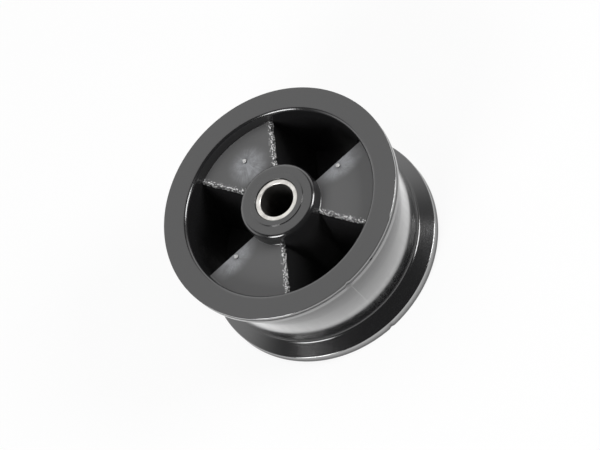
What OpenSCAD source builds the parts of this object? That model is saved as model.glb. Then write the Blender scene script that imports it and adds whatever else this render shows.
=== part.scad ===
// Double-flanged tensioner pulley: a one-piece moulded wheel with a pressed-in bearing sleeve.
// The wheel lies on its rear flange with its axis upright, so the front face looks up.
// The origin is on the axis, in the plane of the rear flange face.

/* [Flanges] */
// Diameter over the two flanges
flange_d = 68; // [64.5:0.5:84]
// Width between the outer faces of the two flanges
wheel_w = 32.5; // [26:0.5:44]
// Width of each flange at its rim
rim_w = 2.9; // [1.6:0.1:4.4]
// Slope of the inner face of each flange, in degrees from square to the axis
flange_slope = 31; // [10:1:45]
// Rounding of the flange rims
rim_round = 0.3; // [0.2:0.1:0.8]
// Rounding of the inner edge of each flange face
mouth_round = 1.2; // [0.4:0.1:1.6]

/* [Belt track] */
// Diameter of the belt track at its flat crown
track_d = 61; // [57.5:0.1:63]
// Width of that crown, which keeps the belt centred
crown_w = 8.3; // [4:0.1:12]
// Taper of the track from the crown down to each flange, in degrees
track_taper = 5.5; // [1:0.5:8]
// Rounding of the crown's two edges
crown_round = 8; // [4:0.5:10]
// Fillet between the belt track and each flange
track_fillet = 1.2; // [0.4:0.1:2]
// Diameter of the hollow inside the rim, at its mouth
hollow_d = 54.4; // [46:0.2:57]
// Draft of the inside wall of the rim, in degrees
hollow_draft = 0.6; // [0:0.1:1.5]

/* [Hub] */
// Diameter of the hub at its ends
hub_d = 22.2; // [19.5:0.1:30]
// Draft of the hub's side, in degrees
hub_draft = 1; // [0:0.1:2]
// Rounding of the hub's end edges
hub_round = 1.4; // [0.4:0.1:1.8]
// Outer diameter of the raised thrust ring on each hub end
thrust_d = 15.4; // [13.6:0.2:16.4]
// How far a thrust ring stands above its hub end
thrust_rise = 0.3; // [0.1:0.1:1.2]
// How far the front thrust ring stands above the front flange face
front_proud = 0.8; // [0:0.1:2]

/* [Webs] */
// Number of webs on each face of the wheel
web_count = 3; // [3:1:4]
// How far the webs lie below the flange faces
web_recess = 3.75; // [2:0.25:7]
// Thickness of each web
web_t = 2.9; // [1.8:0.1:4]
// Lateral thickness of the slanting walls that join front webs to rear webs
wall_t = 2.4; // [1.6:0.1:3]
// How far the edge of a web stands back from its sector line
web_inset = 1.3; // [0.6:0.1:1.8]
// Breadth of the bevelled shoulder along the edge of a web
shoulder_b = 0.5; // [0.2:0.1:1]
// Height of that shoulder
shoulder_h = 1.2; // [0.4:0.1:2]
// Fillet at the foot of the hub and of the rim, on each web
web_fillet = 0.7; // [0.3:0.1:1.2]

/* [Gate marks] */
// Diameter of the stub that each moulding gate leaves
gate_d = 1.3; // [0.8:0.1:2]
// Height of those stubs
gate_h = 0.5; // [0.2:0.1:0.8]
// Distance of the stub on the middle web from the axis
gate_r = 19.6; // [15:0.1:22]
// Distance of the other two stubs from the axis
side_gate_r = 18.5; // [15:0.1:22]
// Angle between the middle stub and each of the other two
side_gate_angle = 97; // [92:0.5:100]

/* [Bearing sleeve] */
// Outer diameter of the sleeve, and so of its seat in the hub
sleeve_od = 12.4; // [11:0.1:13]
// Bore of the sleeve
sleeve_bore = 9.6; // [8:0.1:10.2]
// How far each end of the sleeve lies below its thrust ring
sleeve_recess = 0.3; // [0.1:0.05:0.8]
// Chamfer at each end of the bore
bore_chamfer = 0.2; // [0.1:0.1:0.7]
// Chamfer on the outer edges of the sleeve
sleeve_chamfer = 0.2; // [0.1:0.05:0.3]

/* [Hidden] */
$fn = 128;

plastic_black = [0.10, 0.10, 0.105];
bright_steel = [0.80, 0.79, 0.76];

flange_r = flange_d / 2;
track_r = track_d / 2;
hollow_r = hollow_d / 2;
hub_r = hub_d / 2;
seat_r = sleeve_od / 2;
bore_r = sleeve_bore / 2;
mid_z = wheel_w / 2;

// Root of each flange, where its slope would meet the taper of the belt track
crown_z = (wheel_w - crown_w) / 2;
root_w = (rim_w + (flange_r - track_r + crown_z * tan(track_taper)) * tan(flange_slope))
    / (1 + tan(track_taper) * tan(flange_slope));
root_r = track_r - (crown_z - root_w) * tan(track_taper);

// The hub ends: the rear thrust ring is level with the rear flange face
front_top = wheel_w + front_proud;
front_hub = front_top - thrust_rise;
rear_hub = thrust_rise;
hub_mid_r = hub_r + (front_hub - mid_z) * tan(hub_draft);
hollow_mid_r = hollow_r - mid_z * tan(hollow_draft);

// Front webs and rear webs alternate round the hub, one to a sector
sector = 180 / web_count;
web_top = wheel_w - web_recess;
pocket_floor = web_recess + web_t;
shoulder_z = web_top - shoulder_h;
// A pocket's side leans so that the wall between two pockets keeps its thickness
wall_lean = (web_inset - shoulder_b + wall_t / 2) / (shoulder_z - mid_z);
floor_inset = wall_t / 2 + (mid_z - pocket_floor) * wall_lean;

// How deep the webs run into the hub and the rim, and how far cuts run past a face
root_overlap = 1;
cut_over = 2;

function toward(p, q) = (q - p) / norm(q - p);

// Does the outline, taken anticlockwise, turn outwards at this corner?
function bulges(p, i) =
    let (n = len(p))
    cross(p[i] - p[(i + n - 1) % n], p[(i + 1) % n] - p[i]) > 0;

// What lies between a corner and an arc of radius r that touches both of its edges
module corner_sliver(p, a, b, r) {
    half = acos(a * b) / 2;
    reach = r / tan(half);
    centre = p + (a + b) / norm(a + b) * r / sin(half);
    difference() {
        polygon([p, p + a * reach, centre, p + b * reach]);
        translate(centre)
            circle(r);
    }
}

// An outline given as [x, y, rounding] corners, anticlockwise
module rounded_outline(corners) {
    n = len(corners);
    p = [for (c = corners) [c[0], c[1]]];
    difference() {
        union() {
            polygon(p);
            for (i = [0 : n - 1])
                if (corners[i][2] > 0 && !bulges(p, i))
                    corner_sliver(p[i], toward(p[i], p[(i + n - 1) % n]), toward(p[i], p[(i + 1) % n]), corners[i][2]);
        }
        for (i = [0 : n - 1])
            if (corners[i][2] > 0 && bulges(p, i))
                corner_sliver(p[i], toward(p[i], p[(i + n - 1) % n]), toward(p[i], p[(i + 1) % n]), corners[i][2]);
    }
}

// The rim in section: crowned belt track between two sloped flanges, and a hollow drafted from both mouths
module rim_section() {
    rounded_outline([
        [hollow_r, 0, mouth_round],
        [flange_r, 0, rim_round],
        [flange_r, rim_w, rim_round],
        [root_r, root_w, track_fillet],
        [track_r, crown_z, crown_round],
        [track_r, wheel_w - crown_z, crown_round],
        [root_r, wheel_w - root_w, track_fillet],
        [flange_r, wheel_w - rim_w, rim_round],
        [flange_r, wheel_w, rim_round],
        [hollow_r, wheel_w, mouth_round],
        [hollow_mid_r, mid_z, 0]
    ]);
}

// The hub in section, with its thrust rings round the seat of the sleeve
module hub_section() {
    rounded_outline([
        [seat_r, 0, 0],
        [thrust_d / 2, 0, 0],
        [thrust_d / 2, rear_hub, 0],
        [hub_r, rear_hub, hub_round],
        [hub_mid_r, mid_z, 0],
        [hub_r, front_hub, hub_round],
        [thrust_d / 2, front_hub, 0],
        [thrust_d / 2, front_top, 0],
        [seat_r, front_top, 0]
    ]);
}

// The block that the webs are cut from, in section, with fillets rising to the hub and the rim
module web_section() {
    inner = hub_r - root_overlap;
    outer = hollow_r + root_overlap;
    rise = web_fillet + root_overlap;
    rounded_outline([
        [inner, web_recess - rise, 0],
        [hub_r, web_recess - rise, 0],
        [hub_r, web_recess, web_fillet],
        [hollow_r, web_recess, web_fillet],
        [hollow_r, web_recess - rise, 0],
        [outer, web_recess - rise, 0],
        [outer, web_top + rise, 0],
        [hollow_r, web_top + rise, 0],
        [hollow_r, web_top, web_fillet],
        [hub_r, web_top, web_fillet],
        [hub_r, web_top + rise, 0],
        [inner, web_top + rise, 0]
    ]);
}

// Everything on the pocket's own side of one slanting wall. Sideways is distance from the sector line
module pocket_side(hand) {
    mouth_z = web_top + web_fillet + root_overlap + cut_over;
    rotate([0, 0, hand * sector / 2])
        rotate([90, 0, 90])
            linear_extrude(height = flange_d)
                polygon([
                    [-hand * flange_r, pocket_floor],
                    [-hand * floor_inset, pocket_floor],
                    [hand * (web_inset - shoulder_b), shoulder_z],
                    [hand * web_inset, web_top],
                    [hand * web_inset, mouth_z],
                    [-hand * flange_r, mouth_z]
                ]);
}

// A pocket that opens at the front between two webs and is closed at the rear by a rear web
module pocket() {
    intersection() {
        pocket_side(1);
        pocket_side(-1);
    }
}

module folded_web() {
    difference() {
        rotate_extrude()
            web_section();
        for (i = [0 : web_count - 1]) {
            rotate([0, 0, i * 2 * sector])
                pocket();
            translate([0, 0, wheel_w])
                rotate([180, 0, (2 * i + 1) * sector])
                    pocket();
        }
    }
}

module gate_stub(r, angle) {
    rotate([0, 0, angle])
        translate([r, 0, web_top - root_overlap])
            cylinder(d = gate_d, h = root_overlap + gate_h);
}

module pulley_wheel() {
    color(plastic_black) {
        rotate_extrude()
            rim_section();
        rotate_extrude()
            hub_section();
        folded_web();
        gate_stub(gate_r, 180);
        gate_stub(side_gate_r, 180 - side_gate_angle);
        gate_stub(side_gate_r, 180 + side_gate_angle);
    }
}

module bearing_sleeve() {
    low = sleeve_recess;
    high = front_top - sleeve_recess;
    color(bright_steel)
        rotate_extrude()
            polygon([
                [bore_r + bore_chamfer, low],
                [seat_r - sleeve_chamfer, low],
                [seat_r, low + sleeve_chamfer],
                [seat_r, high - sleeve_chamfer],
                [seat_r - sleeve_chamfer, high],
                [bore_r + bore_chamfer, high],
                [bore_r, high - bore_chamfer],
                [bore_r, low + bore_chamfer]
            ]);
}

pulley_wheel();
bearing_sleeve();
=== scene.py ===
import math

import bmesh
import bpy
from mathutils import Matrix, Vector, noise


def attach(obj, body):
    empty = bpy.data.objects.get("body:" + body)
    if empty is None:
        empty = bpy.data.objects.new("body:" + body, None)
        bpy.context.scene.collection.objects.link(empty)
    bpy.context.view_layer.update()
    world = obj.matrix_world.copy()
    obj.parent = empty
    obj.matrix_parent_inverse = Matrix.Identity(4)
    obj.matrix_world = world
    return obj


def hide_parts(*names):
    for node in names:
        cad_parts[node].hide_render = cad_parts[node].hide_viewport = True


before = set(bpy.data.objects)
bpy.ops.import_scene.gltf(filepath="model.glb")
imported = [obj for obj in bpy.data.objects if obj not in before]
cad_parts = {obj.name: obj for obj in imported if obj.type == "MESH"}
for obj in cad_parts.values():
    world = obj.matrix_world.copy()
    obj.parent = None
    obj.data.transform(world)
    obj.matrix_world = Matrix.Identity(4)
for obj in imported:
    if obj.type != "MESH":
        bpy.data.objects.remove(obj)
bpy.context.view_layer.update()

# The rim is the wheel's outer ring: a crowned belt track between two flanges that slope in towards it.
# It is moulded in black plastic in one shot with the hub and the webs. The mould parts on the front
# flange's edge, where it leaves a fine ragged line, and its side slides meet in a seam across the track.
mm = 0.001
flange_r = 34 * mm
wheel_w = 32.5 * mm
mid_z = wheel_w / 2
rim_w = 2.9 * mm
rim_round = 0.3 * mm
mouth_round = 1.2 * mm
track_r = 30.5 * mm
crown_half = 4.15 * mm
crown_z = mid_z - crown_half
crown_round = 36 * mm
track_fillet = 1.2 * mm
slope = math.tan(math.radians(31))
taper = math.tan(math.radians(5.5))
root_w = (rim_w + (flange_r - track_r + crown_z * taper) * slope) / (1 + taper * slope)
root_r = track_r - (crown_z - root_w) * taper
hollow_r = 27.2 * mm
hollow_draft = math.radians(0.6)
hollow_mid_r = hollow_r - mid_z * math.tan(hollow_draft)
line_z = 0.42 * rim_w
line_half = 0.3 * mm
line_depth = 0.3 * mm
line_wander = 0.25 * mm
line_wave = 1.7 * mm
seam_half = 0.2 * mm
nick_depth = 0.3 * mm
nick_w = 0.4 * rim_w
edge_r = flange_r - 1.1 * line_depth
arc_step = 0.2
weld = 0.001 * mm


def turned(outline, steps):
    """A ring swept round the axis by an outline of (radius, height, rounding) corners."""
    mesh = bmesh.new()
    corners = [mesh.verts.new((radius, 0, height)) for radius, height, rounding in outline]
    mesh.faces.new(corners)
    for i, (radius, height, rounding) in enumerate(outline):
        if rounding:
            here = Vector((radius, height))
            one = Vector(outline[i - 1][:2]) - here
            other = Vector(outline[(i + 1) % len(outline)][:2]) - here
            turn = math.pi - one.angle(other)
            bmesh.ops.bevel(mesh, geom=[corners[i]], offset=rounding * math.tan(turn / 2),
                            offset_type="ABSOLUTE", affect="VERTICES", clamp_overlap=False,
                            segments=max(3, round(turn / arc_step)), profile=0.5, material=-1)
    bmesh.ops.delete(mesh, geom=mesh.faces[:], context="FACES_ONLY")
    bmesh.ops.spin(mesh, geom=mesh.verts[:] + mesh.edges[:], cent=(0, 0, 0), axis=(0, 0, 1),
                   angle=2 * math.pi, steps=steps, use_merge=True)
    bmesh.ops.remove_doubles(mesh, verts=mesh.verts, dist=weld)
    bmesh.ops.recalc_face_normals(mesh, faces=mesh.faces)
    return mesh


def placed(name, mesh):
    """The mesh as an object of the scene."""
    data = bpy.data.meshes.new(name)
    mesh.to_mesh(data)
    mesh.free()
    piece = bpy.data.objects.new(name, data)
    bpy.context.scene.collection.objects.link(piece)
    return piece


rim_mesh = turned([
    (hollow_r, 0, mouth_round),
    (flange_r, 0, rim_round),
    (flange_r, rim_w, rim_round),
    (root_r, root_w, track_fillet),
    (track_r, crown_z, crown_round),
    (track_r, wheel_w - crown_z, crown_round),
    (root_r, wheel_w - root_w, track_fillet),
    (flange_r, wheel_w - rim_w, rim_round),
    (flange_r, wheel_w - line_z - line_half, 0),
    (flange_r - line_depth, wheel_w - line_z, 0),
    (flange_r, wheel_w - line_z + line_half, 0),
    (flange_r, wheel_w, rim_round / 2),
    (hollow_r, wheel_w, mouth_round),
    (hollow_mid_r, mid_z, 0),
], steps=256)
for vert in rim_mesh.verts:
    from_line = abs(wheel_w - line_z - vert.co.z)
    if vert.co.xy.length > edge_r and from_line < 1.1 * line_half:
        vert.co.z += line_wander * noise.noise(vert.co / line_wave)
    at_seam = abs(vert.co.y) < seam_half and vert.co.x > edge_r
    if at_seam and (vert.co.z < nick_w or vert.co.z > wheel_w - line_z - line_half):
        vert.co.x *= 1 - nick_depth / flange_r
rim = placed("rim", rim_mesh)

# The hub is the boss that holds the bearing sleeve. It is part of the same moulding, drafted both ways
# from its middle, with rounded ends and a low thrust ring round the sleeve on each of them.
hub_r = 11.1 * mm
hub_round = 1.4 * mm
thrust_r = 7.7 * mm
thrust_rise = 0.3 * mm
thrust_round = 0.12 * mm
seat_r = 6.2 * mm
front_proud = 0.8 * mm
front_top = wheel_w + front_proud
front_hub = front_top - thrust_rise
hub_draft = math.radians(1)
hub_mid_r = hub_r + (front_hub - mid_z) * math.tan(hub_draft)

hub = placed("hub", turned([
    (seat_r, 0, thrust_round),
    (thrust_r, 0, thrust_round),
    (thrust_r, thrust_rise, thrust_round),
    (hub_r, thrust_rise, hub_round),
    (hub_mid_r, mid_z, 0),
    (hub_r, front_hub, hub_round),
    (thrust_r, front_hub, thrust_round),
    (thrust_r, front_top, thrust_round),
    (seat_r, front_top, thrust_round),
], steps=192))

# The folded web ties the hub to the rim: three webs near the front face alternate with three near the
# rear one, and slanting walls join them. The steel that forms the pockets shuts off against the webs'
# edges, so most of these edges come out torn and sparkling, and two at the front stay clean.
sectors = 6
sector = 2 * math.pi / sectors
web_recess = 3.75 * mm
web_top = wheel_w - web_recess
web_fillet = 0.4 * mm
root_overlap = 1 * mm
web_t = 2.9 * mm
pocket_floor = web_recess + web_t
wall_t = 2.4 * mm
web_inset = 1.3 * mm
shoulder_b = 0.5 * mm
shoulder_h = 1.2 * mm
shoulder_z = web_top - shoulder_h
wall_lean = (web_inset - shoulder_b + wall_t / 2) / (shoulder_z - mid_z)
tear_depth = 0.24 * mm
tear_size = 0.45 * mm
tear_bias = 0.25
tear_bar = 1.6 * mm
torn_finish = 1
clean_edges = [(2, -1), (4, 1)]

web_in = hub_r - root_overlap
web_out = hollow_r + root_overlap
web_rise = web_fillet + root_overlap
web = placed("web", turned([
    (web_in, web_recess - web_rise, 0),
    (hub_r, web_recess - web_rise, 0),
    (hub_r, web_recess, web_fillet),
    (hollow_r, web_recess, web_fillet),
    (hollow_r, web_recess - web_rise, 0),
    (web_out, web_recess - web_rise, 0),
    (web_out, web_top + web_rise, 0),
    (hollow_r, web_top + web_rise, 0),
    (hollow_r, web_top, web_fillet),
    (hub_r, web_top, web_fillet),
    (hub_r, web_top + web_rise, 0),
    (web_in, web_top + web_rise, 0),
], steps=192))


def pocket_core():
    """The mould core that leaves one pocket between two front webs."""
    mesh = bmesh.new()
    bmesh.ops.create_cube(mesh, size=1)
    bmesh.ops.scale(mesh, vec=(web_out * 2, web_out * 2, wheel_w - pocket_floor), verts=mesh.verts)
    bmesh.ops.translate(mesh, vec=(web_out, 0, (wheel_w + pocket_floor) / 2), verts=mesh.verts)
    for hand in (1, -1):
        sideways = Matrix.Rotation(hand * sector / 2, 3, "Z") @ Vector((0, hand, 0))
        bmesh.ops.bisect_plane(mesh, geom=mesh.verts[:] + mesh.edges[:] + mesh.faces[:],
                               plane_co=Vector((0, 0, mid_z)) - sideways * wall_t / 2,
                               plane_no=sideways - Vector((0, 0, wall_lean)), clear_outer=True)
        bmesh.ops.holes_fill(mesh, edges=[edge for edge in mesh.edges if edge.is_boundary])
    bmesh.ops.recalc_face_normals(mesh, faces=mesh.faces)
    return mesh


def torn_edge(hand):
    """What the mould tears off along one edge of a front web: a bar whose web side is broken up."""
    mesh = bmesh.new()
    length = web_out - web_in
    height = web_top + web_rise - shoulder_z
    bmesh.ops.create_grid(mesh, x_segments=72, y_segments=11, size=0.5)
    bmesh.ops.scale(mesh, vec=(length, height, 1), verts=mesh.verts)
    bmesh.ops.rotate(mesh, cent=(0, 0, 0), matrix=Matrix.Rotation(math.pi / 2, 3, "X"), verts=mesh.verts)
    bmesh.ops.translate(mesh, vec=((web_in + web_out) / 2, 0, height / 2), verts=mesh.verts)
    lean = shoulder_b / (web_top - shoulder_z)
    for vert in mesh.verts:
        seed = vert.co / tear_size + Vector((0, 7 * hand, 0))
        ragged = noise.fractal(seed, 0.8, 2.2, 3)
        vert.co.y = lean * vert.co.z + tear_depth * (ragged - tear_bias)
    edges = [edge for edge in mesh.edges if edge.is_boundary]
    back = bmesh.ops.extrude_edge_only(mesh, edges=edges)["geom"]
    for vert in back:
        if isinstance(vert, bmesh.types.BMVert):
            vert.co.y = -tear_bar
    bmesh.ops.holes_fill(mesh, edges=[edge for edge in mesh.edges if edge.is_boundary])
    bmesh.ops.translate(mesh, vec=(0, web_inset - shoulder_b, shoulder_z), verts=mesh.verts)
    bmesh.ops.scale(mesh, vec=(1, hand, 1), verts=mesh.verts)
    bmesh.ops.rotate(mesh, cent=(0, 0, 0), verts=mesh.verts,
                     matrix=Matrix.Rotation(hand * sector / 2, 3, "Z"))
    bmesh.ops.recalc_face_normals(mesh, faces=mesh.faces)
    for face in mesh.faces:
        face.material_index = torn_finish
    return mesh


def combined(piece, others, operation):
    """Cuts the others out of the piece, or joins them to it, for good."""
    group = bpy.data.collections.new("others")
    for other in others:
        group.objects.link(other)
    cut = piece.modifiers.new("cut", "BOOLEAN")
    cut.operation = operation
    cut.operand_type = "COLLECTION"
    cut.collection = group
    cut.solver = "EXACT"
    bpy.context.view_layer.update()
    shaped = bpy.data.meshes.new_from_object(piece.evaluated_get(bpy.context.evaluated_depsgraph_get()))
    piece.modifiers.clear()
    piece.data = shaped
    for other in others:
        bpy.data.objects.remove(other)
    bpy.data.collections.remove(group)
    return piece


cores = []
for i in range(sectors):
    torn_hands = [hand for hand in (1, -1) if (i, hand) not in clean_edges]
    for mesh in [pocket_core()] + [torn_edge(hand) for hand in torn_hands]:
        if i % 2:
            bmesh.ops.scale(mesh, vec=(1, -1, -1), verts=mesh.verts)
            bmesh.ops.translate(mesh, vec=(0, 0, wheel_w), verts=mesh.verts)
        bmesh.ops.rotate(mesh, cent=(0, 0, 0), verts=mesh.verts,
                         matrix=Matrix.Rotation(i * sector, 3, "Z"))
        cores.append(placed("core", mesh))
combined(web, cores, "DIFFERENCE")

# Three gate stubs stand on the front webs where the plastic ran into the mould. They are twisted off
# when the wheel is taken out, which leaves them pale and broken on top.
gate_r = 0.65 * mm
gate_top_r = 0.92 * gate_r
gate_h = 0.5 * mm
break_depth = 0.12 * mm
break_size = 0.3 * mm
break_inset = 0.25 * gate_r
broken_finish = 2
gates = [(19.6 * mm, math.pi), (18.5 * mm, math.radians(83)), (18.5 * mm, math.radians(277))]
gate_points = [Vector((r * math.cos(a), r * math.sin(a), web_top)) for r, a in gates]


def gate_stub(point):
    """A round stub at this point on a web, broken off on top."""
    mesh = bmesh.new()
    bmesh.ops.create_cone(mesh, cap_ends=True, segments=28, radius1=gate_r, radius2=gate_top_r,
                          depth=root_overlap + gate_h)
    tops = [face for face in mesh.faces if face.normal.z > 0.9]
    bmesh.ops.inset_region(mesh, faces=tops, thickness=break_inset)
    bmesh.ops.poke(mesh, faces=tops)
    bmesh.ops.translate(mesh, vec=point + Vector((0, 0, (gate_h - root_overlap) / 2)), verts=mesh.verts)
    for vert in mesh.verts:
        if vert.co.z > web_top + 0.9 * gate_h:
            vert.co.z -= break_depth * (0.5 + noise.noise(vert.co / break_size))
    bmesh.ops.recalc_face_normals(mesh, faces=mesh.faces)
    for face in mesh.faces:
        if face.normal.z > 0.5:
            face.material_index = broken_finish
    return mesh


stubs = [placed("stub", gate_stub(point)) for point in gate_points]

# The wheel leaves the mould as one piece, so the rim, hub, webs and stubs are joined here. Its black
# plastic is glossy, brightest on the belt track and the flange edges, where the steel was polished. The
# web faces are dull and painted a lighter grey than the rest of the plastic, as painted light falling on
# them from above, with a pale blush round each gate and bright specks along the torn edges.
track_finish = 3
edge_finish = 4
web_finish = 5
flank_clear = 0.7 * mm
web_skin = 0.1 * mm
sharp = math.radians(30)

wheel = combined(rim, [hub, web] + stubs, "UNION")
wheel.name = "wheel"
wheel.data.name = "wheel"
mesh = bmesh.new()
mesh.from_mesh(wheel.data)
bmesh.ops.remove_doubles(mesh, verts=mesh.verts, dist=weld / 2)
bmesh.ops.recalc_face_normals(mesh, faces=mesh.faces)
for face in mesh.faces:
    middle = face.calc_center_median()
    if middle.xy.length > root_r and abs(middle.z - mid_z) < mid_z - root_w - flank_clear:
        face.material_index = track_finish
    elif middle.xy.length > edge_r and abs(face.normal.z) < 0.8:
        face.material_index = edge_finish
    elif not face.material_index and abs(face.normal.z) > 0.95 and hub_r < middle.xy.length < hollow_r:
        if abs(abs(middle.z - mid_z) - (web_top - mid_z)) < web_skin:
            face.material_index = web_finish
    face.smooth = face.material_index not in (torn_finish, broken_finish)
for edge in mesh.edges:
    edge.smooth = edge.calc_face_angle(0) < sharp
mesh.to_mesh(wheel.data)
mesh.free()
even = wheel.modifiers.new("even", "WEIGHTED_NORMAL")
even.keep_sharp = True


class Wire:
    """A socket of a finish. Sums on it add Math nodes, and node() adds any other kind."""

    def __init__(self, tree, socket):
        self.tree = tree
        self.socket = socket

    def node(self, kind, settings=(), sockets=(), out=0):
        made = self.tree.nodes.new(kind)
        for name, value in dict(settings).items():
            setattr(made, name, value)
        for name, value in dict(sockets).items():
            if isinstance(value, Wire):
                self.tree.links.new(value.socket, made.inputs[name])
            else:
                made.inputs[name].default_value = value
        return Wire(self.tree, made.outputs[out]) if made.outputs else None

    def out(self, name):
        return Wire(self.tree, self.socket.node.outputs[name])

    def math(self, operation, one, other=0.0):
        return self.node("ShaderNodeMath", {"operation": operation}, {0: one, 1: other})

    def __add__(self, other):
        return self.math("ADD", self, other)

    def __radd__(self, other):
        return self.math("ADD", other, self)

    def __sub__(self, other):
        return self.math("SUBTRACT", self, other)

    def __rsub__(self, other):
        return self.math("SUBTRACT", other, self)

    def __mul__(self, other):
        return self.math("MULTIPLY", self, other)

    def __rmul__(self, other):
        return self.math("MULTIPLY", other, self)

    def __pow__(self, other):
        return self.math("POWER", self, other)

    def fade(self, start, end):
        """1 up to start, falling smoothly to 0 at end, or the other way round."""
        low, high, first, last = (start, end, 1.0, 0.0) if start < end else (end, start, 0.0, 1.0)
        return self.node("ShaderNodeMapRange", {"interpolation_type": "SMOOTHSTEP"}, {
            "Value": self, "From Min": low, "From Max": high, "To Min": first, "To Max": last})

    def grain(self, size, detail=2.0, roughness=0.5):
        """Cloudy noise with lumps of about this size."""
        return self.node("ShaderNodeTexNoise", {},
                         {"Vector": self, "Scale": 1 / size, "Detail": detail, "Roughness": roughness})

    def shards(self, size):
        """Distance from scattered points about this far apart, as a share of it."""
        return self.node("ShaderNodeTexVoronoi", {}, {"Vector": self, "Scale": 1 / size}, out="Distance")

    def bumps(self, strength, depth):
        """The way the surface faces where this is its height."""
        return self.node("ShaderNodeBump", {}, {"Strength": strength, "Distance": depth, "Height": self})

    def axes(self):
        """Its X, Y and Z."""
        parts = self.node("ShaderNodeSeparateXYZ", {}, {"Vector": self})
        return [parts.out(name) for name in "XYZ"]

    def tint(self, mask, one, other):
        """One colour where the mask is 0, the other where it is 1."""
        return self.node("ShaderNodeMix", {"data_type": "RGBA"}, {"Factor": mask, 6: one, 7: other}, out=2)


def finish(name):
    """A new material, with a wire that carries the place on the piece."""
    material = bpy.data.materials.new(name)
    material.use_nodes = True
    material.node_tree.nodes.clear()
    start = Wire(material.node_tree, None)
    return material, start.node("ShaderNodeTexCoord", {}, {}, out="Object")


def lay(place, **sockets):
    """Ends a finish with its shader."""
    sockets = {name.replace("_", " "): value for name, value in sockets.items()}
    shader = place.node("ShaderNodeBsdfPrincipled", {}, sockets)
    place.node("ShaderNodeOutputMaterial", {}, {"Surface": shader})


plastic_black = (0.014, 0.014, 0.0145, 1)
# The web faces' lighter grey is painted light: the same black plastic, coloured as if lit from above.
web_painted_light_grey = (0.088, 0.088, 0.089, 1)
plastic_blush = (0.25, 0.256, 0.268, 1)
plastic_torn = (0.72, 0.72, 0.72, 1)
plastic_polished = (0.012, 0.012, 0.0125, 1)
# The seam's lighter grey is a painted glint on a real mould seam.
seam_glint_grey = (0.11, 0.11, 0.112, 1)
gate_grey = (0.32, 0.32, 0.32, 1)
gate_pale = (0.7, 0.7, 0.69, 1)
fine_size = 0.35 * mm
fine_depth = 0.02 * mm
shard_size = 0.5 * mm
shard_depth = 0.1 * mm

moulded, place = finish("moulded_black")
fine = place.grain(fine_size, 3)
cloud = place.grain(9 * mm, 3)
lay(place, Base_Color=plastic_black, Roughness=0.13 + 0.09 * cloud, IOR=1.8,
    Normal=fine.bumps(0.25, fine_depth))

torn, place = finish("torn_edge")
shards = place.shards(shard_size)
lay(place, Base_Color=place.tint(shards.fade(0.34, 0.47), plastic_black, plastic_torn),
    Roughness=0.2 + 0.3 * shards, IOR=1.8, Normal=(1 - shards).bumps(0.6, shard_depth))

# Web faces: matte, and painted a lighter grey as painted light from above, with gate blush and torn
# specks.
matte_painted_light, place = finish("web_face")
x, y, z = place.axes()
radius = (x * x + y * y) ** 0.5
fine = place.grain(fine_size, 3)
middle_blush = (-2 * mm, 7 * mm, 7 * mm)
side_blush = (0.4 * mm, 8.5 * mm, 4.6 * mm)
blush_shapes = [middle_blush, side_blush, side_blush]
blush = 0.0
for (_, angle), point, (shift, long, broad) in zip(gates, gate_points, blush_shapes):
    middle = point + shift * point.xy.normalized().to_3d()
    spread = place.node("ShaderNodeMapping", {"vector_type": "TEXTURE"}, {
        "Vector": place, "Location": middle, "Rotation": (0, 0, angle), "Scale": (long, broad, long)})
    away = place.node("ShaderNodeVectorMath", {"operation": "SUBTRACT"}, {0: place, 1: point})
    ray = place.node("ShaderNodeVectorMath", {"operation": "NORMALIZE"}, {0: away})
    reach = place.node("ShaderNodeVectorMath", {"operation": "LENGTH"}, {0: spread}, out="Value")
    rays = ray.grain(0.1, 3, 0.7).fade(0.62, 0.4)
    blush = reach.fade(0.28, 1.0) * (0.65 + 0.35 * rays) + blush
blush = blush * (0.6 + 0.4 * place.grain(2 * mm, 3).fade(0.6, 0.35)) * (0.6 + 0.9 * fine)
turn = place.math("PINGPONG", place.math("ARCTAN2", y, x) + 2.5 * sector, sector / 2)
from_edge = radius * place.math("SINE", turn) - web_inset
spill = (place.shards(shard_size) + 0.3 * from_edge.fade(1.2 * mm, 0.1 * mm)).fade(0.36, 0.48)
spill = spill * from_edge.fade(0.9 * mm, 1.4 * mm)
off_clean = place.math("ABSOLUTE", x).fade(3.4 * mm, 2.8 * mm)
spill = spill * place.math("MAXIMUM", off_clean, z.fade(mid_z, mid_z + mm))
colour = place.tint(blush, web_painted_light_grey, plastic_blush)
lay(place, Base_Color=place.tint(spill, colour, plastic_torn), Roughness=0.5 + 0.1 * fine,
    IOR=1.45, Normal=fine.bumps(0.25, fine_depth))

broken, place = finish("broken_gate")
lumps = place.grain(break_size, 3, 0.7)
lay(place, Base_Color=place.tint(lumps.fade(0.7, 0.4), gate_grey, gate_pale),
    Roughness=0.3 + 0.2 * lumps, IOR=1.85, Normal=lumps.bumps(0.8, shard_depth))

polished, place = finish("belt_track")
_, y, z = place.axes()
# The slide seam is drawn as a lighter line: a real mould seam whose brightness is a painted glint. It
# stops below the crown, where the track is dark.
seam_and_glint = place.math("ABSOLUTE", y).fade(0.04 * mm, 0.16 * mm)
seam_and_glint = seam_and_glint * z.fade(crown_z + 0.6 * mm, crown_z - 0.4 * mm)
fine = place.grain(0.5 * mm, 3)
drawn = place.node("ShaderNodeVectorMath", {"operation": "MULTIPLY"}, {0: place, 1: (1, 1, 0.06)})
streaks = drawn.grain(1.2 * mm, 2).fade(0.62, 0.4)
lay(place, Base_Color=place.tint(seam_and_glint, plastic_polished, seam_glint_grey),
    Roughness=0.16 + 0.05 * streaks, IOR=2.3, Coat_Weight=1.0, Coat_Roughness=0.18, Coat_IOR=1.5,
    Normal=fine.bumps(0.05, 0.01 * mm))

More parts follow.
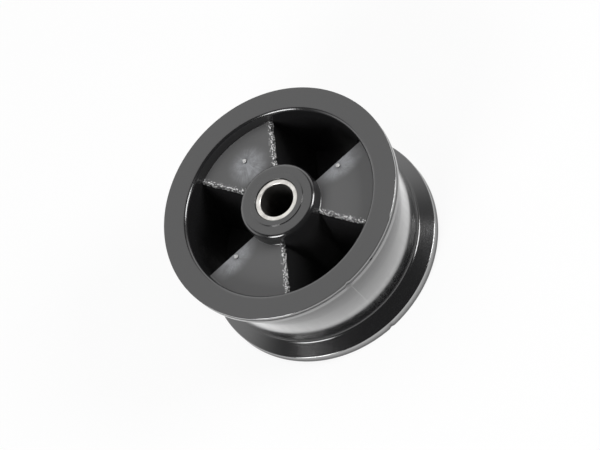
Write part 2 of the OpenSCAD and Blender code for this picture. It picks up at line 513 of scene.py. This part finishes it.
edged, place = finish("flange_edge")
_, _, z = place.axes()
parted = place.math("ABSOLUTE", z - (wheel_w - line_z)).fade(1.3 * line_half, 1.8 * line_half)
cloud = place.grain(4 * mm, 3)
lay(place, Base_Color=plastic_polished, Roughness=0.12 + 0.06 * cloud + 0.75 * parted, IOR=3.5,
    Coat_Weight=1 - parted, Coat_Roughness=0.12, Coat_IOR=1.5)

for material in (moulded, torn, broken, polished, edged, matte_painted_light):
    wheel.data.materials.append(material)
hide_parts("pulley_wheel")
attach(wheel, "root")

# The bearing sleeve is a turned bush of bright steel, chamfered at its ends, pressed into the hub a little
# below the thrust rings. The stud that the pulley runs on goes through it.
bore_r = 4.8 * mm
sleeve_recess = 0.3 * mm
sleeve_low = sleeve_recess
sleeve_high = front_top - sleeve_recess
bore_chamfer = 0.2 * mm
sleeve_chamfer = 0.2 * mm
sleeve_edge = 0.06 * mm
steel_bright = (0.74, 0.725, 0.69, 1)
steel_dull = (0.52, 0.5, 0.475, 1)
# Darker steel for the bore's wall: painted shade inside the hole.
bore_painted_shade = (0.26, 0.25, 0.24, 1)

sleeve = placed("sleeve", turned([
    (bore_r + bore_chamfer, sleeve_low, sleeve_edge),
    (seat_r - sleeve_chamfer, sleeve_low, sleeve_edge),
    (seat_r, sleeve_low + sleeve_chamfer, 0),
    (seat_r, sleeve_high - sleeve_chamfer, 0),
    (seat_r - sleeve_chamfer, sleeve_high, sleeve_edge),
    (bore_r + bore_chamfer, sleeve_high, sleeve_edge),
    (bore_r, sleeve_high - bore_chamfer, sleeve_edge),
    (bore_r, sleeve_low + bore_chamfer, sleeve_edge),
], steps=160))
for polygon in sleeve.data.polygons:
    polygon.use_smooth = True
sleeve.modifiers.new("even", "WEIGHTED_NORMAL")

steel, place = finish("bright_steel")
x, y, z = place.axes()
radius = (x * x + y * y) ** 0.5
across = place.node("ShaderNodeCombineXYZ", {}, {"X": radius, "Y": z})
rings = across.grain(0.12 * mm, 2, 0.6)
dull = place.grain(2.5 * mm, 3, 0.6)
# The bore's wall is painted dark: painted shade inside the hole, not the steel's own colour.
bore_shade = radius.fade(bore_r + 0.03 * mm, bore_r + 0.08 * mm)
turned_steel = place.tint(dull.fade(0.7, 0.35), steel_bright, steel_dull)
lay(place, Base_Color=place.tint(bore_shade, turned_steel, bore_painted_shade),
    Roughness=0.32 + 0.18 * dull + 0.06 * rings, Metallic=1.0, Normal=rings.bumps(0.35, 0.01 * mm))
sleeve.data.materials.append(steel)
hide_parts("bearing_sleeve")
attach(sleeve, "root")

# The stage is white paper under a wide soft box above and behind the pulley and a smaller box low at
# each side. The camera sees white all round. Reflections see less: the boxes, a bright pool of paper
# close to the pulley and a lit band of wall behind it.
view_tilt = math.radians(34.315)
view_turn = math.radians(4)
view_roll = math.radians(90 - 44.829)
view_distance = 578 * mm
photo_wide = 600
lens_pixels = 2157
face_from_middle = (-22.793, 24.328)
paper_white = (0.85, 0.85, 0.85, 1)
ring_glow = 0.65
self_lit = 0.88
band_glow = 1.5
wall_fill = 0.25

floor_mesh = bmesh.new()
bmesh.ops.create_grid(floor_mesh, x_segments=2, y_segments=2, size=3)
floor = placed("floor", floor_mesh)
paper, place = finish("white_paper")
path = place.node("ShaderNodeLightPath")
direct, mirrored = path.out("Is Camera Ray"), path.out("Is Glossy Ray")
x, y, _ = place.axes()
radius = (x * x + y * y) ** 0.5
# The pool is a painted glow on the paper that only reflections see. It fades to black at the pulley's
# foot, a painted shadow there.
pool = radius.fade(37 * mm, 90 * mm) + ring_glow * radius.fade(36 * mm, 43 * mm)
pool = pool * radius.fade(37.5 * mm, 33 * mm)
lit = place.node("ShaderNodeBsdfDiffuse", {}, {"Color": paper_white})
glow = place.node("ShaderNodeEmission", {}, {"Color": 1 - mirrored * (1 - pool)})
mixed = place.node("ShaderNodeMixShader", {}, {
    0: mirrored + self_lit * direct * radius.fade(35 * mm, 29 * mm), 1: lit, 2: glow})
place.node("ShaderNodeOutputMaterial", {}, {"Surface": mixed})
floor.data.materials.append(paper)

world = bpy.data.worlds.new("studio")
world.use_nodes = True
world.node_tree.nodes.clear()
room = Wire(world.node_tree, None)
path = room.node("ShaderNodeLightPath")
skyward = room.node("ShaderNodeTexCoord", {}, {}, out="Generated")
x, _, z = skyward.axes()
band = z.fade(0.35, 0.75) * x.fade(-0.42, 0.15)
direct, mirrored = path.out("Is Camera Ray"), path.out("Is Glossy Ray")
seen = path.math("MAXIMUM", direct, mirrored * band_glow * band + (1 - mirrored) * wall_fill)
walls = room.node("ShaderNodeBackground", {}, {"Color": seen})
room.node("ShaderNodeOutputWorld", {}, {"Surface": walls})
bpy.context.scene.world = world


def softbox(name, azimuth, elevation, distance, wide, high, radiance):
    """A lit panel of this size and brightness that faces the middle of the pulley."""
    lamp = bpy.data.lights.new(name, "AREA")
    lamp.shape = "RECTANGLE"
    lamp.size = wide
    lamp.size_y = high
    lamp.energy = radiance * math.pi * wide * high
    box = bpy.data.objects.new(name, lamp)
    towards = Vector((math.cos(azimuth) * math.cos(elevation), math.sin(azimuth) * math.cos(elevation),
                      math.sin(elevation)))
    box.location = Vector((0, 0, mid_z)) + distance * towards
    box.rotation_euler = towards.to_track_quat("Z", "Y").to_euler()
    bpy.context.scene.collection.objects.link(box)


softbox("top_box", azimuth=view_turn + math.pi, elevation=math.radians(66), distance=0.9,
        wide=0.9, high=1.08, radiance=1.15)
for name, side in (("left_box", math.radians(65)), ("right_box", math.radians(-65))):
    softbox(name, azimuth=view_turn + side, elevation=math.radians(27), distance=0.75,
            wide=0.32, high=0.31, radiance=12)

back = Vector((math.sin(view_tilt) * math.cos(view_turn), math.sin(view_tilt) * math.sin(view_turn),
               math.cos(view_tilt)))
level = Vector((0, 0, 1)).cross(back).normalized()
upright = back.cross(level)
right = math.cos(view_roll) * level - math.sin(view_roll) * upright
up = math.sin(view_roll) * level + math.cos(view_roll) * upright
pixel = view_distance / lens_pixels
aim = Vector((0, 0, wheel_w)) - face_from_middle[0] * pixel * right - face_from_middle[1] * pixel * up
camera = bpy.data.objects.new("camera", bpy.data.cameras.new("camera"))
camera.data.sensor_width = 36
camera.data.lens = lens_pixels / photo_wide * camera.data.sensor_width
camera.matrix_world = Matrix.Translation(aim + view_distance * back) @ Matrix(
    (right, up, back)).transposed().to_4x4()
bpy.context.scene.collection.objects.link(camera)
bpy.context.scene.camera = camera
bpy.context.scene.view_settings.view_transform = "Standard"
